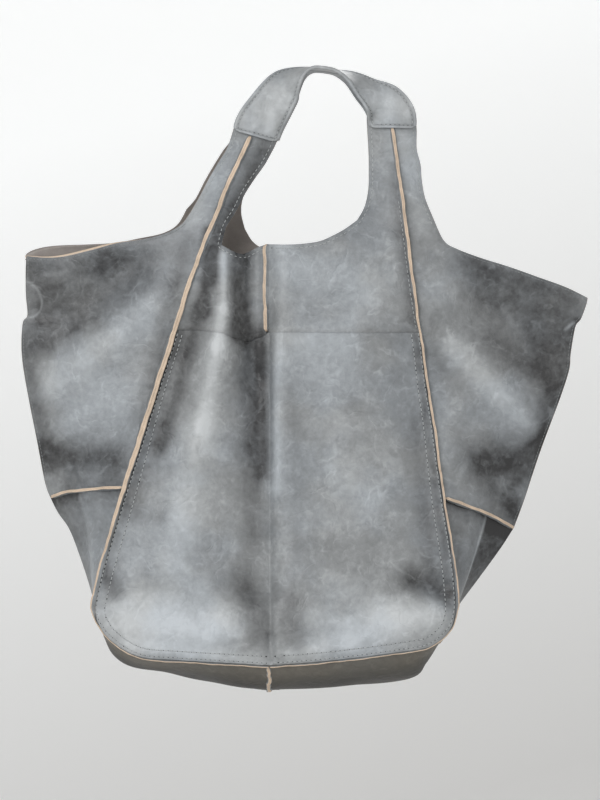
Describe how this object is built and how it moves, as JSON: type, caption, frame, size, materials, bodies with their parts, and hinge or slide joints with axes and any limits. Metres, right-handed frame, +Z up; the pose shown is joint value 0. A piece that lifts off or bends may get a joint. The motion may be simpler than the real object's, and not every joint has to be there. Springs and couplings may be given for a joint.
{
  "type": "leather tote bag",
  "caption": "Large slouchy leather tote with raw seam edges, a full-width front pocket, side wings and two shoulder loops, hanging as worn.",
  "frame": {"origin": "underside of the two handle loops at their crest, where they lie over a shoulder or a hook", "axes": "+Z up, +X to the viewer's right, +Y away from the viewer of the pocket side"},
  "size_m": [0.6362, 0.1734, 0.7073],
  "materials": {
    "grey_leather": "semi-matt distressed grey leather with a pale bloom on the folds",
    "base_leather": "the same leather, browner and darker on the base"
  },
  "bodies": {
    "root": {"front_panel_left": "grey_leather", "front_panel_right": "grey_leather", "front_pocket": "grey_leather", "front_wing_left": "grey_leather", "front_wing_right": "grey_leather", "front_side_left": "grey_leather", "front_side_right": "grey_leather", "back_panel_left": "grey_leather", "back_panel_right": "grey_leather", "back_wing_left": "grey_leather", "back_wing_right": "grey_leather", "back_side_left": "grey_leather", "back_side_right": "grey_leather", "base_left": "base_leather", "base_right": "base_leather", "front_handle": "grey_leather", "back_handle": "grey_leather"}
  },
  "joints": []
}
